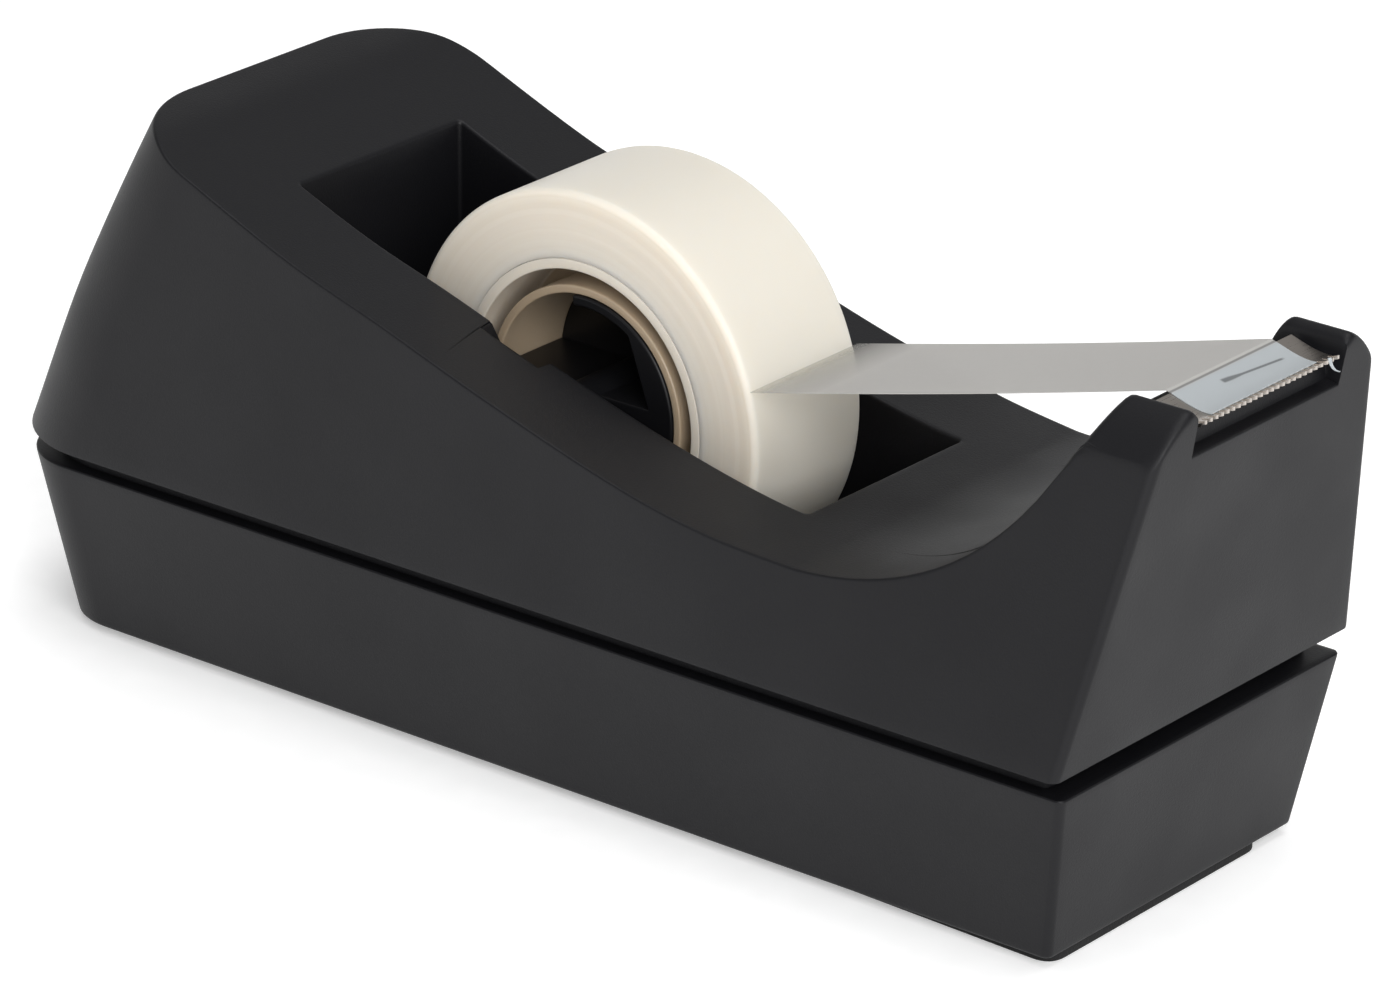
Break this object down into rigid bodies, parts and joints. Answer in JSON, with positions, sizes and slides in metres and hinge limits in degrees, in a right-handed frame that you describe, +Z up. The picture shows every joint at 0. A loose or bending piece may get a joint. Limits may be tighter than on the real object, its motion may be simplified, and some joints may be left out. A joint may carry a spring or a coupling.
{
  "type": "desktop tape dispenser",
  "caption": "Weighted desktop dispenser with a roll of adhesive tape on a lift-out hub, a serrated cutter on a raised tower and a ballasted tray.",
  "frame": {"origin": "middle of the bounding box on the resting plane, under the non-skid pad", "axes": "+X along the length towards the cutter, +Y across to the far side, +Z up"},
  "size_m": [0.1633, 0.0544, 0.0662],
  "materials": {
    "black_abs": "fine spark-eroded mould texture, matte black",
    "nickel_steel": "bright nickel plate, stamped",
    "core_plastic": "semi-gloss white moulded plastic",
    "tape": "matte acetate film in many turns, cream, slightly translucent",
    "tape_film": "one layer of matte acetate film, frosted and see-through",
    "plate_steel": "bare mild steel plate",
    "foam": "closed-cell foam sheet",
    "zinc_steel": "zinc-plated steel",
    "pad_rubber": "matte black foam rubber",
    "adhesive": "clear adhesive film"
  },
  "bodies": {
    "base": {"upper_housing": "black_abs", "base_tray": "black_abs", "cutter_blade": "nickel_steel", "tape_strand": "tape_film", "ballast_plate_1": "plate_steel", "ballast_plate_2": "plate_steel", "ballast_plate_3": "plate_steel", "ballast_foam": "foam", "screw_rear_near": "zinc_steel", "screw_rear_far": "zinc_steel", "screw_front_near": "zinc_steel", "screw_front_far": "zinc_steel", "non_skid_pad": "pad_rubber", "pad_adhesive": "adhesive"},
    "hub": {"spool_hub": "black_abs"},
    "reel": {"tape_core": "core_plastic", "tape_roll": "tape"}
  },
  "joints": [
    {"name": "hub_lift_out", "type": "slide", "parent": "base", "child": "hub", "axis": [-0.5446, 0, 0.8387], "range_m": [0, 0.02]},
    {"name": "reel_spin", "type": "hinge", "parent": "hub", "child": "reel", "pos_m": [-0.0045, 0, 0.0412], "axis": [0, 1, 0], "continuous": true}
  ]
}
